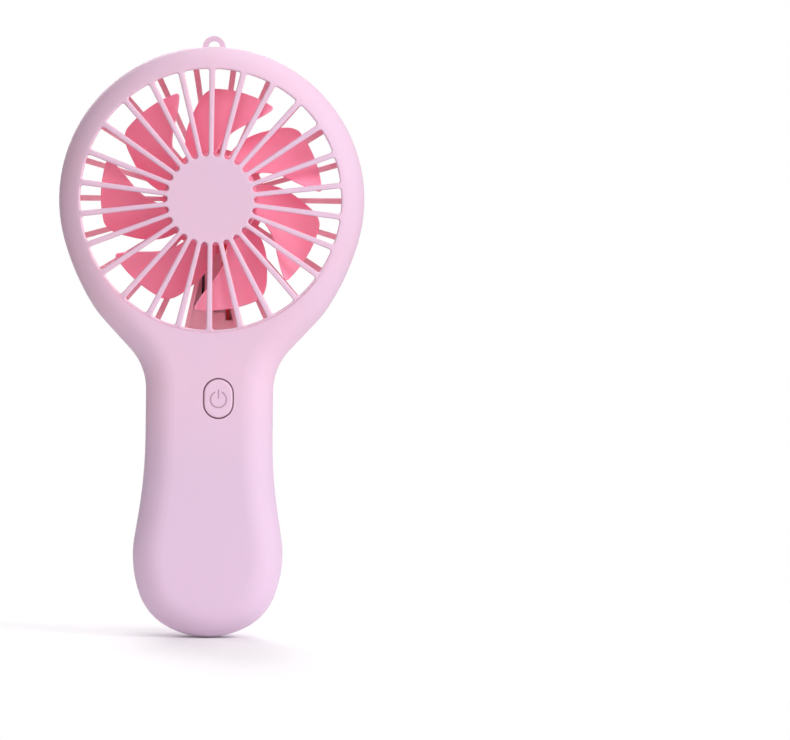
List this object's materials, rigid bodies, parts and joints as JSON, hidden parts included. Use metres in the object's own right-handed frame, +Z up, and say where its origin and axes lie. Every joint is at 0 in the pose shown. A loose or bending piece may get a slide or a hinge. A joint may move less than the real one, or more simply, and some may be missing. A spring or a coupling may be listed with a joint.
{
  "type": "handheld electric fan",
  "caption": "Slim handheld electric fan with a round grilled head, a bladed impeller and a handle that holds a rechargeable cell and a push button.",
  "frame": {"origin": "lowest point of the handle, on the middle plane from side to side and at the middle of the depth", "axes": "+Z up the handle through the lanyard loop, front grille faces -Y, rear grille faces +Y, +X to the right seen from the front"},
  "size_m": [0.0968, 0.0347, 0.1909],
  "materials": {
    "body": "soft-touch coated, pale pink",
    "label": "printed film",
    "blades": "moulded coral pink, satin",
    "steel": "plain bright steel",
    "dark_plastic": "moulded black",
    "ferrite": "dark ferrite",
    "copper": "enamelled copper",
    "brass": "bare brass",
    "red_wire": "insulation",
    "black_wire": "insulation",
    "cell_wrap": "shrink wrap",
    "white_card": "card ring",
    "foam": "foam pad",
    "circuit_board": "solder mask",
    "capacitor": "ceramic",
    "led_lens": "clear lens",
    "button": "moulded pale pink",
    "screw": "black oxide"
  },
  "bodies": {
    "housing": {"front_shell": "body", "rear_shell": "body", "rear_label": "label", "motor_can": "steel", "motor_end_cap": "dark_plastic", "motor_magnets": "ferrite", "motor_bushes": "brass", "motor_terminals": "brass", "motor_lead_red": "red_wire", "motor_lead_black": "black_wire", "battery_cell": "cell_wrap", "battery_cap": "steel", "battery_wrap_ring": "white_card", "battery_tabs": "steel", "battery_pad": "foam", "battery_lead_red": "red_wire", "battery_lead_black": "black_wire", "charge_board": "circuit_board", "charge_socket": "steel", "charge_tongue": "dark_plastic", "charge_chip": "dark_plastic", "charge_inductor": "ferrite", "board_capacitors": "capacitor", "switch_board": "circuit_board", "tact_switch": "dark_plastic", "switch_transistor": "dark_plastic", "indicator_led": "led_lens", "neck_screw": "screw"},
    "rotor": {"impeller": "blades", "motor_shaft": "steel", "motor_armature": "steel", "motor_windings": "copper", "motor_commutator": "copper"},
    "button": {"power_button": "button", "switch_plunger": "button"}
  },
  "joints": [
    {"name": "impeller_spin", "type": "hinge", "parent": "housing", "child": "rotor", "pos_m": [0, 0, 0.139], "axis": [0, 1, 0], "continuous": true},
    {"name": "button_press", "type": "slide", "parent": "housing", "child": "button", "axis": [0, 1, 0], "range_m": [0, 0.00035], "stiffness_N_per_m": 1500, "springref_m": -0.0008}
  ]
}
